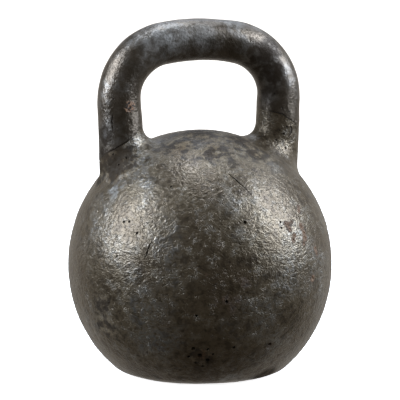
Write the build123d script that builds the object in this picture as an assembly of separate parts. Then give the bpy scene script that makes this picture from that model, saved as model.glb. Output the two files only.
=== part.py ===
from build123d import *
import math
import os

# A heavy old kettlebell: a grey-iron ball cast round the legs of a forged round bar,
# with a lead-loaded trimming pocket in its base.
# Millimetres, +Z up. The origin is the middle of the flat that the ball stands on,
# the handle lies in the XZ plane, and the front is -Y.

# ---- driving dimensions --------------------------------------------------------------

BALL_RADIUS = 102.0         # half the ball's width
BALL_FULLNESS = 1.015       # the ball's upright half axis over its half width
BASE_RADIUS = 60.7          # flat that the ball stands on, before its edge is rounded
BASE_EDGE_RADIUS = 5.0      # rounding between the flat and the ball

BAR_RADIUS = 16.0           # the handle's round bar
HAND_CLEARANCE = 53.4       # from the top of the ball to the underside of the grip
CROWN_RADIUS = 163.0        # gentle arch of the grip, on the bar's centreline
CORNER_RADIUS = 43.0        # bend from grip to leg, on the centreline
LEG_SPREAD = 64.0           # leg centreline from the middle, level with the ball's top
LEG_LEAN = 2.45             # the legs close in downwards by this angle, degrees

# ---- cast horns round the legs, which end in the seams --------------------------------

HORN_SKIN = 1.2             # iron over the bar where the casting thins out
HORN_FILLET = 15.0          # hollow between a horn and the ball
LEFT_HORN_HEIGHT = 13.0     # seam above the ball's surface, on the leg's centreline
LEFT_SEAM_RISE = (0.75, 0.27)    # slope of the seam, towards the middle and the front
RIGHT_HORN_HEIGHT = 31.6
RIGHT_SEAM_RISE = (0.37, 0.09)

# ---- anchors of the bar inside the ball -------------------------------------------------

TANG_COVER = 5.0            # the legs start to taper this far under the ball's surface
TANG_LENGTH = 52.0          # from there to the lower end of the bar
TANG_RADIUS = 13.0          # thin end of the taper
HEAD_RADIUS = 19.0          # upset head that locks the leg in the iron
HEAD_HEIGHT = 14.0
HEAD_CHAMFER = 3.0

# ---- trimming pocket in the base ---------------------------------------------------------

PLUG_RADIUS = 17.0          # driven plug, at its outer face
PLUG_TAPER = 1.0            # the plug is this much thinner, in radius, at its inner face
PLUG_HEIGHT = 12.0
PLUG_RECESS = 1.5           # its outer face stands back from the base
CHAMBER_MARGIN = 12.0       # the chamber behind the plug is wider than its seat
CHAMBER_HEIGHT = 60.0
CHAMBER_ROUND = 8.0         # rounding at the chamber's closed end
LEAD_HEIGHT = 12.0          # trimming lead, poured into the closed end
CAULK_WIDTH = 4.0           # lead ring hammered into the groove round the plug
CAULK_HEIGHT = 4.5
CAULK_RECESS = 0.8

# ---- derived ---------------------------------------------------------------------------

BALL_HALF_HEIGHT = BALL_RADIUS * BALL_FULLNESS
BALL_CENTRE_Z = BALL_HALF_HEIGHT * math.sqrt(1 - (BASE_RADIUS / BALL_RADIUS) ** 2)
BALL_TOP_Z = BALL_CENTRE_Z + BALL_HALF_HEIGHT
HANDLE_TOP_Z = BALL_TOP_Z + HAND_CLEARANCE + BAR_RADIUS
CROWN_CENTRE = Vector(0, 0, HANDLE_TOP_Z - CROWN_RADIUS)
LEAN = math.radians(LEG_LEAN)
LEG_UP = Vector(math.sin(LEAN), 0, math.cos(LEAN))
LEG_OUT = Vector(math.cos(LEAN), 0, -math.sin(LEAN))
SEAT_Z = PLUG_RECESS + PLUG_HEIGHT
CHAMBER_TOP_Z = SEAT_Z + CHAMBER_HEIGHT
PLUG_THIN_RADIUS = PLUG_RADIUS - PLUG_TAPER
GROOVE_RADIUS = PLUG_RADIUS + CAULK_WIDTH
GROOVE_TOP_Z = CAULK_RECESS + CAULK_HEIGHT


def on_leg(z):
    """The point of the right leg's centreline at height z."""
    return Vector(LEG_SPREAD + (z - BALL_TOP_Z) * math.tan(LEAN), 0, z)


def leg_entry_z():
    """Height at which the right leg's centreline passes through the ball's surface."""
    z = BALL_TOP_Z
    for _ in range(20):
        reach = on_leg(z).X / BALL_RADIUS
        z = BALL_CENTRE_Z + BALL_HALF_HEIGHT * math.sqrt(1 - reach ** 2)
    return z


ENTRY_Z = leg_entry_z()
TANG_TOP_Z = ENTRY_Z - TANG_COVER


def corner_centre():
    """Centre of the right corner's bend, tangent to the leg and to the grip's arch."""
    start = on_leg(BALL_TOP_Z) - LEG_OUT * CORNER_RADIUS
    # It slides up along the leg, CORNER_RADIUS inside it, until the bend's arc meets
    # the arch's arc without a kink.
    offset = start - CROWN_CENTRE
    along = offset.dot(LEG_UP)
    miss = offset.dot(offset) - (CROWN_RADIUS - CORNER_RADIUS) ** 2
    return start + LEG_UP * (math.sqrt(along ** 2 - miss) - along)


CORNER_CENTRE = corner_centre()
ARCH_OUT = (CORNER_CENTRE - CROWN_CENTRE).normalized()


def leg_line(foot_z):
    """Centreline of the right leg, from height foot_z to the corner's bend."""
    return Edge.make_line(on_leg(foot_z), CORNER_CENTRE + LEG_OUT * CORNER_RADIUS)


def corner_arc():
    """Centreline of the right corner, from the leg to the grip."""
    middle = (LEG_OUT + ARCH_OUT).normalized()
    bend = [CORNER_CENTRE + way * CORNER_RADIUS for way in (LEG_OUT, middle, ARCH_OUT)]
    return Edge.make_three_point_arc(*bend)


def round_bar(path, radius):
    """A round bar of the given radius along a path of edges."""
    wire = Wire(path)
    return sweep(Plane(origin=wire @ 0, z_dir=wire % 0) * Circle(radius), path=wire)


def tang():
    """The right leg's anchor: a drawn taper that ends in an upset head."""
    outline = Polyline(
        (0, 0), (BAR_RADIUS, 0), (TANG_RADIUS, HEAD_HEIGHT - TANG_LENGTH),
        (HEAD_RADIUS - HEAD_CHAMFER, HEAD_HEIGHT - TANG_LENGTH),
        (HEAD_RADIUS, HEAD_HEIGHT - HEAD_CHAMFER - TANG_LENGTH),
        (HEAD_RADIUS, HEAD_CHAMFER - TANG_LENGTH),
        (HEAD_RADIUS - HEAD_CHAMFER, -TANG_LENGTH), (0, -TANG_LENGTH), (0, 0))
    anchor = revolve(make_face(Plane.XZ * outline), Axis.Z)
    return Plane(origin=on_leg(TANG_TOP_Z), x_dir=LEG_OUT, z_dir=LEG_UP) * anchor


def forged_handle():
    """The whole bar: grip, corners, legs and both anchors, in one piece."""
    crown_end = CORNER_CENTRE + ARCH_OUT * CORNER_RADIUS
    grip = Edge.make_three_point_arc(
        crown_end, Vector(0, 0, HANDLE_TOP_Z), Vector(-crown_end.X, 0, crown_end.Z))
    side = [leg_line(TANG_TOP_Z), corner_arc()]
    path = side + [grip] + [edge.mirror(Plane.YZ) for edge in reversed(side)]
    anchor = tang()
    return round_bar(path, BAR_RADIUS) + anchor + mirror(anchor, about=Plane.YZ)


def ball():
    """The ball with its flat base, whose edge is rounded."""
    rim = math.degrees(math.asin(BALL_CENTRE_Z / BALL_HALF_HEIGHT))
    side = EllipticalCenterArc(
        (0, BALL_CENTRE_Z), BALL_RADIUS, BALL_HALF_HEIGHT, start_angle=-rim, arc_size=rim + 90)
    flat = Polyline(side @ 1, (0, 0), side @ 0)
    # Drawn in the YZ plane, so that the seam of the turned surface misses both legs.
    body = revolve(Plane.YZ * make_face(side + flat), Axis.Z)
    return fillet(body.edges().group_by(Axis.Z)[0], BASE_EDGE_RADIUS)


def above_seam(side, horn_height, rise):
    """Everything above a seam round one leg: side is 1 for the right one, -1 for the left."""
    centre = on_leg(ENTRY_Z + horn_height)
    seam = Plane(origin=(side * centre.X, 0, centre.Z), x_dir=(1, 0, -side * rise[0]),
                 z_dir=(side * rise[0], rise[1], 1))
    reach = 2 * BALL_RADIUS
    that_side = Pos(side * reach / 2, 0, HANDLE_TOP_Z) * Box(reach, reach, 2 * HANDLE_TOP_Z)
    return split(that_side, bisect_by=seam, keep=Keep.TOP)


def horned_ball():
    """The ball with the casting drawn up round both legs as far as the seams."""
    horn = round_bar([leg_line(BALL_CENTRE_Z), corner_arc()], BAR_RADIUS + HORN_SKIN)
    body = ball() + horn + mirror(horn, about=Plane.YZ)
    body = fillet(body.edges().filter_by(is_horn_root), HORN_FILLET)
    body -= above_seam(-1, LEFT_HORN_HEIGHT, LEFT_SEAM_RISE)
    return body - above_seam(1, RIGHT_HORN_HEIGHT, RIGHT_SEAM_RISE)


def is_horn_root(edge):
    """Whether an edge is part of the line where a horn leaves the ball."""
    for place in (0.2, 0.5, 0.8):
        point = edge @ place
        out = math.hypot(point.X, point.Y) / BALL_RADIUS
        up = (point.Z - BALL_CENTRE_Z) / BALL_HALF_HEIGHT
        if up < 0 or out < 0.1 or abs(math.hypot(out, up) - 1) > 0.001:
            return False
    return True


def pocket():
    """The trimming pocket as one void: groove, plug seat and chamber."""
    chamber_radius = PLUG_THIN_RADIUS + CHAMBER_MARGIN
    outline = Polyline(
        (0, 0), (GROOVE_RADIUS, 0), (GROOVE_RADIUS, GROOVE_TOP_Z),
        (seat_radius(GROOVE_TOP_Z), GROOVE_TOP_Z), (PLUG_THIN_RADIUS, SEAT_Z),
        (chamber_radius, SEAT_Z), (chamber_radius, CHAMBER_TOP_Z), (0, CHAMBER_TOP_Z), (0, 0))
    void = revolve(make_face(Plane.XZ * outline), Axis.Z)
    return fillet(void.edges().group_by(Axis.Z)[-1], CHAMBER_ROUND)


def seat_radius(z):
    """Radius of the plug and of its seat at height z."""
    return PLUG_RADIUS - PLUG_TAPER * (z - PLUG_RECESS) / PLUG_HEIGHT


def base_plug():
    """The iron plug driven into the pocket's mouth."""
    outline = Polyline(
        (0, PLUG_RECESS), (PLUG_RADIUS, PLUG_RECESS), (PLUG_THIN_RADIUS, SEAT_Z), (0, SEAT_Z),
        (0, PLUG_RECESS))
    return revolve(make_face(Plane.XZ * outline), Axis.Z)


def caulking():
    """The lead ring hammered into the groove round the plug."""
    outline = Polyline(
        (seat_radius(CAULK_RECESS), CAULK_RECESS), (GROOVE_RADIUS, CAULK_RECESS),
        (GROOVE_RADIUS, GROOVE_TOP_Z), (seat_radius(GROOVE_TOP_Z), GROOVE_TOP_Z),
        (seat_radius(CAULK_RECESS), CAULK_RECESS))
    return revolve(make_face(Plane.XZ * outline), Axis.Z)


def trim_lead(void):
    """The lead that fills the closed end of the chamber."""
    slab = Box(BALL_RADIUS, BALL_RADIUS, LEAD_HEIGHT, align=(Align.CENTER, Align.CENTER, Align.MAX))
    return void & Pos(0, 0, CHAMBER_TOP_Z) * slab


os.makedirs("parts", exist_ok=True)
handle = forged_handle()
void = pocket()
nodes = {
    "ball_casting": horned_ball() - handle - void,
    "handle_bar": handle,
    "trim_lead": trim_lead(void),
    "base_plug": base_plug(),
    "plug_caulking": caulking(),
}
for name, shape in nodes.items():
    export_step(shape, f"parts/{name}.step")
    print(name, round(shape.volume), "mm3", shape.is_valid, len(shape.solids()))
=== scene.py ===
"""An old two-pood kettlebell: a sand-cast iron ball, poured round the legs of a forged round bar.

The ball is one smooth implicit shape that is skinned, given its cast surface and bored for the bar.
The handle is swept along its bent centreline. Both are in metres, in the frame's own coordinates.
"""

import logging
import math
from dataclasses import dataclass, field
from enum import Enum

import bmesh
import bpy
import numpy as np
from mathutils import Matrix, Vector


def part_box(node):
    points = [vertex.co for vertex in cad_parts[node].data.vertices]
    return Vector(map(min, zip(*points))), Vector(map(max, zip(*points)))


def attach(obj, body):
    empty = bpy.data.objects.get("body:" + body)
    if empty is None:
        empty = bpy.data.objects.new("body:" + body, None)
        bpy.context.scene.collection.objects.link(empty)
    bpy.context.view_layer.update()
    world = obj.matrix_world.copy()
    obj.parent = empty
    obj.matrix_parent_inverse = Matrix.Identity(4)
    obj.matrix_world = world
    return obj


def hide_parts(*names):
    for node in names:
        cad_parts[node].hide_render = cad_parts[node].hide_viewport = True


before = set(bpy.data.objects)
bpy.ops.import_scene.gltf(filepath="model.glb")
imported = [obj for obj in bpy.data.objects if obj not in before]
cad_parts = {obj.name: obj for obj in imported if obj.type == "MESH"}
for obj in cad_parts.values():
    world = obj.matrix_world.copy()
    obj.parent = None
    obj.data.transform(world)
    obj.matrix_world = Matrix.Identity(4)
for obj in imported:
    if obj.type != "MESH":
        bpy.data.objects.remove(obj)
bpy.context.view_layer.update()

MM = 0.001
LOG = logging.getLogger("kettlebell")
Points = np.ndarray
Feed = object  # A value, a hex colour, an output socket or a node.

# Kinds and settings of nodes that come up often.
MATH, RANGE, MIX, NOISE = "ShaderNodeMath", "ShaderNodeMapRange", "ShaderNodeMix", "ShaderNodeTexNoise"
VECTOR, BUMP, SAMPLE = "ShaderNodeVectorMath", "ShaderNodeBump", "GeometryNodeSampleIndex"
PLUS, MINUS, TIMES, OVER, TIMES_PLUS, MOST, LEAST, SIZE = (
    {"operation": name}
    for name in ("ADD", "SUBTRACT", "MULTIPLY", "DIVIDE", "MULTIPLY_ADD", "MAXIMUM", "MINIMUM", "ABSOLUTE")
)
SMOOTH = {"interpolation_type": "SMOOTHSTEP"}
COLOURS = {"data_type": "RGBA"}
NUMBER = {"data_type": "FLOAT"}
NAMED = "GeometryNodeInputNamedAttribute"


class Slot(str, Enum):
    """Material slots of the record, one for each piece."""

    BALL = "cast_iron_body"
    HANDLE = "forged_handle"
    PLUG = "plug_iron"
    LEAD = "lead"


class Side(float, Enum):
    """Which leg of the handle, as the sign of its X."""

    LEFT = -1.0
    RIGHT = 1.0


# ---- shared shape ----------------------------------------------------------------------


@dataclass(frozen=True)
class Build:
    """Sizes that the ball and the handle share, in metres."""

    ball_radius: float
    handle_top: float
    fullness: float = 1.015
    squareness: float = 2.036
    base_radius: float = 60.7 * MM
    base_edge: float = 5.0 * MM
    bar_radius: float = 16.0 * MM
    leg_radius: float = 16.5 * MM
    crown_radius: float = 163.0 * MM
    corner_radius: float = 43.0 * MM
    leg_spread: float = 64.0 * MM
    leg_lean: float = math.radians(2.45)

    @property
    def half_height(self) -> float:
        """The ball's upright half axis."""
        return self.ball_radius * self.fullness

    @property
    def centre_z(self) -> float:
        """Height of the ball's widest level."""
        return self.half_height * math.sqrt(1 - (self.base_radius / self.ball_radius) ** 2)

    @property
    def ball_top(self) -> float:
        """Height of the ball's top."""
        return self.centre_z + self.half_height

    @property
    def grip_z(self) -> float:
        """Height of the bar's centreline at the middle of the grip."""
        return self.handle_top - self.bar_radius

    def leg_up(self, side: float) -> np.ndarray:
        """Direction of a leg, upwards."""
        return np.array([side * math.sin(self.leg_lean), 0.0, math.cos(self.leg_lean)])

    def leg_out(self, side: float) -> np.ndarray:
        """Direction square to a leg, away from the middle."""
        return np.array([side * math.cos(self.leg_lean), 0.0, -math.sin(self.leg_lean)])

    def on_leg(self, side: float, z: float) -> np.ndarray:
        """The point of a leg's centreline at height z."""
        return np.array([side * (self.leg_spread + (z - self.ball_top) * math.tan(self.leg_lean)), 0.0, z])

    def corner_centre(self) -> np.ndarray:
        """Centre of the right corner's bend, tangent to the leg and to the grip's arch.

        Returns:
            The centre, in the XZ plane.
        """
        crown = np.array([0.0, 0.0, self.grip_z - self.crown_radius])
        up = self.leg_up(1.0)
        start = self.on_leg(1.0, self.ball_top) - self.leg_out(1.0) * self.corner_radius
        offset = start - crown
        along = offset @ up
        miss = offset @ offset - (self.crown_radius - self.corner_radius) ** 2
        return start + up * (math.sqrt(along ** 2 - miss) - along)

    def centreline(self, foot_z: float, step: float) -> Points:
        """The bar's centreline from the left foot over the grip to the right foot.

        Args:
            foot_z: Height at which both legs end.
            step: Distance between neighbouring points.

        Returns:
            Points in the XZ plane, evenly spaced within each stretch.
        """
        centre = self.corner_centre()
        crown = np.array([0.0, 0.0, self.grip_z - self.crown_radius])
        top_angle = math.atan2(centre[0], centre[2] - crown[2])
        leg_angle = math.pi / 2 + self.leg_lean
        foot = self.on_leg(1.0, foot_z)
        leg_end = centre + self.leg_out(1.0) * self.corner_radius
        arch = [
            crown + self.crown_radius * np.array([math.sin(a), 0.0, math.cos(a)])
            for a in _spread(0.0, top_angle, self.crown_radius, step)
        ]
        bend = [
            centre + self.corner_radius * np.array([math.sin(a), 0.0, math.cos(a)])
            for a in _spread(top_angle, leg_angle, self.corner_radius, step)
        ]
        count = max(2, round(float(np.linalg.norm(leg_end - foot)) / step))
        leg = [leg_end + (foot - leg_end) * i / count for i in range(count + 1)]
        right = np.array(arch + bend[1:] + leg[1:])
        left = right[:0:-1] * np.array([-1.0, 1.0, 1.0])
        return np.vstack([left, right])


def _spread(start: float, end: float, radius: float, step: float) -> np.ndarray:
    """Evenly spaced angles of an arc, about one step apart on it."""
    return np.linspace(start, end, max(2, round(abs(end - start) * radius / step)) + 1)


def heading(azimuth: float, elevation: float) -> np.ndarray:
    """Unit vector away from the object: azimuth 0 is the front and 90 is +X, in degrees."""
    a, e = math.radians(azimuth), math.radians(elevation)
    return np.array([math.sin(a) * math.cos(e), -math.cos(a) * math.cos(e), math.sin(e)])


@dataclass(frozen=True)
class Seam:
    """Where the casting ends on a leg: a tilted, ragged line round the bar.

    The height is that of the line on the leg's centreline, and the rises are its slopes
    towards the middle of the object and towards the front. The bend lifts a short stretch
    of it, round one direction, in radians from the leg's outer side.
    """

    side: float
    height: float
    rise_in: float
    rise_front: float
    phase: float
    open_from: float
    open_to: float
    bend: float
    bend_turn: float
    bend_tightness: float = 8.0
    rag: float = 0.7 * MM

    def gap(self, build: Build, points: Points) -> np.ndarray:
        """Signed height of points above the seam, in metres, ragged edge included.

        Args:
            build: The sizes that the ball and the handle share.
            points: Places, in metres.

        Returns:
            Metres above the line, negative below it.
        """
        centre = build.on_leg(self.side, self.height)
        offset = points - centre
        slope = self.rise_in * -self.side * offset[:, 0] - self.rise_front * offset[:, 1]
        turn = np.arctan2(offset[:, 1], self.side * offset[:, 0])
        slope += self.bend * np.exp(self.bend_tightness * (np.cos(turn - self.bend_turn) - 1))
        rag = (
            np.sin(2 * turn + self.phase)
            + 0.55 * np.sin(5 * turn + 2.1 * self.phase)
            + 0.35 * np.sin(11 * turn + 3.7 * self.phase)
            + 0.2 * np.sin(23 * turn + 1.3 * self.phase)
        )
        return offset[:, 2] - slope - self.rag * rag

    def nearest(self, build: Build, points: Points) -> np.ndarray:
        """The gap, but far away for points on the other half of the object."""
        return np.where(points[:, 0] * self.side > 0, self.gap(build, points), 1.0)

    def height_at(self, build: Build, azimuth: float) -> float:
        """Height of the line on the leg's surface in one direction from its axis.

        Args:
            build: The sizes that the ball and the handle share.
            azimuth: The direction, in degrees.

        Returns:
            The height, in metres.
        """
        z = self.height
        for _ in range(8):
            place = build.on_leg(self.side, z) + build.leg_radius * heading(azimuth, 0.0)
            z -= float(self.gap(build, place[None, :])[0])
        return z


# ---- mesh and node helpers -------------------------------------------------------------


def linear(hex_colour: str) -> tuple[float, float, float, float]:
    """An sRGB hex colour as linear RGBA.

    Args:
        hex_colour: The colour as # and six digits.

    Returns:
        Red, green, blue and alpha, from 0 to 1.
    """
    channels = [int(hex_colour[i:i + 2], 16) / 255 for i in (1, 3, 5)]
    red, green, blue = (c / 12.92 if c <= 0.04045 else ((c + 0.055) / 1.055) ** 2.4 for c in channels)
    return (red, green, blue, 1.0)


def feed(tree: bpy.types.NodeTree, socket: bpy.types.NodeSocket, value: Feed) -> None:
    """Links or sets one input of a node.

    Args:
        tree: The tree that the node is in.
        socket: The input.
        value: What it gets: of a node, that is its first output.
    """
    if isinstance(value, bpy.types.Node):
        value = next(s for s in value.outputs if s.enabled)
    if isinstance(value, bpy.types.NodeSocket):
        tree.links.new(value, socket)
    elif isinstance(value, str) and value.startswith("#"):
        socket.default_value = linear(value)
    else:
        socket.default_value = value


def add(
    tree: bpy.types.NodeTree, kind: str, sets: dict | None = None, *by_place: Feed, **by_name: Feed
) -> bpy.types.Node:
    """Adds a node with its settings, input values and links.

    Args:
        tree: The tree that gets the node.
        kind: The node's type.
        sets: Properties of the node itself, such as operation or data_type.
        *by_place: Inputs in their order, those that the settings switch off left out.
        **by_name: Inputs by name, in lower case with underscores.

    Returns:
        The node.
    """
    made = tree.nodes.new(kind)
    for key, value in (sets or {}).items():
        setattr(made, key, value)
    sockets = [socket for socket in made.inputs if socket.enabled]
    named = {socket.name.lower().replace(" ", "_"): socket for socket in reversed(sockets)}
    for socket, value in zip(sockets, by_place):
        feed(tree, socket, value)
    for key, value in by_name.items():
        feed(tree, named[key], value)
    return made


def mesh_object(name: str, points: Points, faces: list | np.ndarray) -> bpy.types.Object:
    """A new mesh object at the origin, linked to the scene.

    Args:
        name: What the object and its mesh are called.
        points: Its vertices, in metres.
        faces: Its faces, as lists of vertex numbers.

    Returns:
        The object.
    """
    mesh = bpy.data.meshes.new(name)
    mesh.from_pydata([tuple(p) for p in points], [], [tuple(f) for f in faces])
    mesh.update()
    made = bpy.data.objects.new(name, mesh)
    bpy.context.scene.collection.objects.link(made)
    return made


def coordinates(obj: bpy.types.Object) -> Points:
    """The vertex positions of a mesh object.

    Args:
        obj: A mesh object.

    Returns:
        One row for each vertex.
    """
    flat = np.empty(len(obj.data.vertices) * 3)
    obj.data.vertices.foreach_get("co", flat)
    return flat.reshape(-1, 3)


def set_coordinates(obj: bpy.types.Object, points: Points) -> None:
    """Moves the vertices of a mesh object."""
    obj.data.vertices.foreach_set("co", points.ravel())
    obj.data.update()


def set_attribute(obj: bpy.types.Object, name: str, values: np.ndarray) -> None:
    """Stores one number per vertex under a name.

    Args:
        obj: The mesh object.
        name: The attribute's name.
        values: The numbers, in the vertices' order.
    """
    old = obj.data.attributes.get(name)
    if old:
        obj.data.attributes.remove(old)
    made = obj.data.attributes.new(name, "FLOAT", "POINT")
    made.data.foreach_set("value", values.astype(np.float32))


def apply_modifiers(obj: bpy.types.Object) -> None:
    """Replaces the object's mesh by its evaluated one, and drops the modifiers.

    Args:
        obj: The object, which keeps its name and its materials.
    """
    bpy.context.view_layer.update()
    evaluated = obj.evaluated_get(bpy.context.evaluated_depsgraph_get())
    mesh = bpy.data.meshes.new_from_object(evaluated)
    obj.modifiers.clear()
    old = obj.data
    obj.data = mesh
    bpy.data.meshes.remove(old)
    mesh.name = obj.name


def lathe(profile: list[tuple[float, float]], segments: int) -> tuple[Points, list]:
    """A closed surface of revolution about Z.

    Args:
        profile: (radius, height) pairs that start and end on the axis, listed so that the
            solid lies on their left, from the bottom up.
        segments: Steps round the axis.

    Returns:
        Points and faces that point outwards.
    """
    rings = profile[1:-1]
    turns = [2 * math.pi * i / segments for i in range(segments)]
    points = [(0.0, 0.0, profile[0][1])]
    points += [(r * math.cos(a), r * math.sin(a), z) for r, z in rings for a in turns]
    points.append((0.0, 0.0, profile[-1][1]))
    faces = []
    last = len(points) - 1
    top = 1 + (len(rings) - 1) * segments
    for i in range(segments):
        j = (i + 1) % segments
        faces.append((0, 1 + j, 1 + i))
        faces.append((last, top + i, top + j))
        for k in range(len(rings) - 1):
            low, high = 1 + k * segments, 1 + (k + 1) * segments
            faces.append((low + i, low + j, high + j, high + i))
    return np.array(points), faces


def smoothstep(low: float, high: float, value: np.ndarray) -> np.ndarray:
    """0 below low, 1 above high, and a smooth slope between them."""
    t = np.clip((value - low) / (high - low), 0, 1)
    return t * t * (3 - 2 * t)


def round_union(a: np.ndarray, b: np.ndarray, radius: float) -> np.ndarray:
    """Signed distance to two shapes joined with a hollow of the given radius.

    Args:
        a: Distance to the first shape.
        b: Distance to the second shape.
        radius: The hollow's radius, one or one for each place.

    Returns:
        Distance to the two as one.
    """
    u = np.maximum(radius - a, 0)
    v = np.maximum(radius - b, 0)
    return np.maximum(radius, np.minimum(a, b)) - np.hypot(u, v)


def round_cut(a: np.ndarray, b: np.ndarray, radius: float) -> np.ndarray:
    """Signed distance to what two shapes share, with a rounded edge of the given radius.

    Args:
        a: Distance to the first shape.
        b: Distance to the second shape.
        radius: The edge's radius.

    Returns:
        Distance to the shared shape.
    """
    u = np.maximum(radius + a, 0)
    v = np.maximum(radius + b, 0)
    return np.minimum(-radius, np.maximum(a, b)) + np.hypot(u, v)


# ---- surface trees ---------------------------------------------------------------------


def open_tree(name: str) -> tuple[bpy.types.NodeTree, bpy.types.Node]:
    """Opens a Geometry Nodes tree.

    Args:
        name: What the tree is called.

    Returns:
        The tree with its geometry sockets, and its input node.
    """
    tree = bpy.data.node_groups.new(name, "GeometryNodeTree")
    for way in ("INPUT", "OUTPUT"):
        tree.interface.new_socket("Geometry", in_out=way, socket_type="NodeSocketGeometry")
    return tree, tree.nodes.new("NodeGroupInput")


def run_tree(
    tree: bpy.types.NodeTree, geometry: Feed, obj: bpy.types.Object, material: bpy.types.Material
) -> None:
    """Ends a tree, runs it on an object and leaves a plain mesh there.

    Args:
        tree: The tree, whose inputs run at their default values.
        geometry: What the tree makes.
        obj: The object that it runs on.
        material: The finish of the new mesh.
    """
    real = add(tree, "GeometryNodeRealizeInstances", None, geometry)
    clad = add(tree, "GeometryNodeSetMaterial", geometry=real, material=material)
    tree.links.new(clad.outputs[0], tree.nodes.new("NodeGroupOutput").inputs["Geometry"])
    modifier = obj.modifiers.new(tree.name, "NODES")
    modifier.node_group = tree
    for socket in tree.interface.items_tree:
        if socket.in_out == "INPUT" and socket.socket_type != "NodeSocketGeometry":
            modifier[socket.identifier] = socket.default_value
    apply_modifiers(obj)


@dataclass
class Relief:
    """A Geometry Nodes tree that works a surface's relief into its mesh.

    Every method adds one kind of unevenness to the running height, which is in metres. All but
    the broad swell fade where the piece's attribute "uneven" falls to 0, as at a seam.
    """

    name: str
    height: bpy.types.Node | None = field(init=False, default=None)

    def __post_init__(self) -> None:
        """Opens the tree and reads the vertices' places and their unevenness."""
        self.tree, self.inlet = open_tree(self.name)
        self.position = add(self.tree, "GeometryNodeInputPosition")
        self.uneven = add(self.tree, NAMED, NUMBER, name="uneven")

    def number(self, name: str, default: float) -> bpy.types.NodeSocket:
        """Adds a named number to the tree's inputs.

        Args:
            name: What the input is called.
            default: Its value.

        Returns:
            The socket to read it from.
        """
        made = self.tree.interface.new_socket(name, in_out="INPUT", socket_type="NodeSocketFloat")
        made.default_value = default
        return self.inlet.outputs[name]

    def pile(self, height: bpy.types.Node, faded: bool = True) -> None:
        """Adds a height to the running one.

        Args:
            height: What to add, in metres.
            faded: Whether it fades where the piece is less uneven.
        """
        if faded:
            height = add(self.tree, MATH, TIMES, height, self.uneven)
        self.height = height if self.height is None else add(self.tree, MATH, PLUS, self.height, height)

    def swell(
        self, label: str, size: float, depth: float, detail: float = 0.0, faded: bool = True
    ) -> None:
        """Adds a soft noise, up and down by one depth.

        Args:
            label: What the tree's inputs are called after.
            size: About how wide its swells are.
            depth: How far they rise and fall.
            detail: How many finer layers ride on it.
            faded: Whether it fades where the piece is less uneven.
        """
        size_in = self.number(f"{label} Size", size)
        depth_in = self.number(f"{label} Depth", depth)
        scale = add(self.tree, MATH, OVER, 1.0, size_in)
        noise = add(self.tree, NOISE, vector=self.position, scale=scale, detail=detail)
        centred = add(self.tree, MATH, MINUS, noise, 0.5)
        self.pile(add(self.tree, MATH, TIMES, centred, add(self.tree, MATH, TIMES, depth_in, 2.0)), faded)

    def facets(self, label: str, size: float, depth: float) -> None:
        """Adds shallow dished flats, as hammer blows leave.

        Args:
            label: What the tree's inputs are called after.
            size: Distance between neighbouring blows.
            depth: How far the rims stand above the middles.
        """
        size_in = self.number(f"{label} Size", size)
        depth_in = self.number(f"{label} Depth", depth)
        cells = add(
            self.tree, "ShaderNodeTexVoronoi", {"feature": "SMOOTH_F1"}, vector=self.position,
            scale=add(self.tree, MATH, OVER, 1.0, size_in), smoothness=0.35,
        )
        centred = add(self.tree, MATH, MINUS, cells.outputs["Distance"], 0.4)
        self.pile(add(self.tree, MATH, TIMES, centred, depth_in))

    def pits(self, label: str, density: float, radius: float, depth: float, seed: int) -> None:
        """Sinks scattered round pits into the surface, each of its own size.

        Args:
            label: What the tree's inputs are called after.
            density: Pits per square metre.
            radius: Radius of the largest pits.
            depth: Depth of the largest pits.
            seed: Makes the scatter repeatable.
        """
        tree, on_points = self.tree, {"domain": "POINT"}
        density_in = self.number(f"{label} Density", density)
        radius_in = self.number(f"{label} Radius", radius)
        depth_in = self.number(f"{label} Depth", depth)
        cloud = add(
            tree, "GeometryNodeDistributePointsOnFaces", {"distribute_method": "RANDOM"},
            mesh=self.inlet.outputs["Geometry"], density=density_in, seed=seed,
        )
        nearest = add(tree, "GeometryNodeSampleNearest", on_points, geometry=cloud)
        share = add(tree, "FunctionNodeRandomValue", NUMBER, seed=seed + 1)
        # A power of the random share makes small pits common and large ones rare.
        skewed = add(tree, MATH, {"operation": "POWER"}, share, 2.5)
        own = add(tree, SAMPLE, {**NUMBER, **on_points}, geometry=cloud, value=skewed, index=nearest)
        middle = add(
            tree, SAMPLE, {"data_type": "FLOAT_VECTOR", **on_points}, geometry=cloud, value=self.position,
            index=nearest,
        )
        far = add(tree, VECTOR, {"operation": "DISTANCE"}, self.position, middle)
        size = add(tree, MATH, TIMES_PLUS, own, 0.75, 0.25)
        span = add(tree, MATH, OVER, far, add(tree, MATH, TIMES, size, radius_in))
        inside = add(tree, MATH, MINUS, 1.0, add(tree, MATH, LEAST, span, 1.0))
        steep = add(tree, MATH, TIMES, inside, 2.0)
        bowl = add(tree, MATH, {"operation": "SMOOTH_MIN"}, steep, 1.0, 0.4)
        sunk = add(tree, MATH, TIMES, bowl, add(tree, MATH, TIMES, depth_in, size))
        self.pile(add(tree, MATH, TIMES, sunk, -1.0))

    def run(self, obj: bpy.types.Object, material: bpy.types.Material) -> None:
        """Moves the object's surface by the relief and stores the height as an attribute.

        Args:
            obj: The mesh object, which gets a plain mesh with the relief in it.
            material: The finish of the new mesh.
        """
        tree = self.tree
        if "uneven" not in obj.data.attributes:
            set_attribute(obj, "uneven", np.ones(len(obj.data.vertices)))
        kept = add(
            tree, "GeometryNodeStoreNamedAttribute", {"domain": "POINT", **NUMBER},
            geometry=self.inlet.outputs["Geometry"], name="relief", value=self.height,
        )
        stored = add(tree, NAMED, NUMBER, name="relief")
        offset = add(tree, VECTOR, {"operation": "SCALE"}, add(tree, "GeometryNodeInputNormal"), stored)
        run_tree(tree, add(tree, "GeometryNodeSetPosition", geometry=kept, offset=offset), obj, material)


# ---- marks of age ------------------------------------------------------------------------


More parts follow.
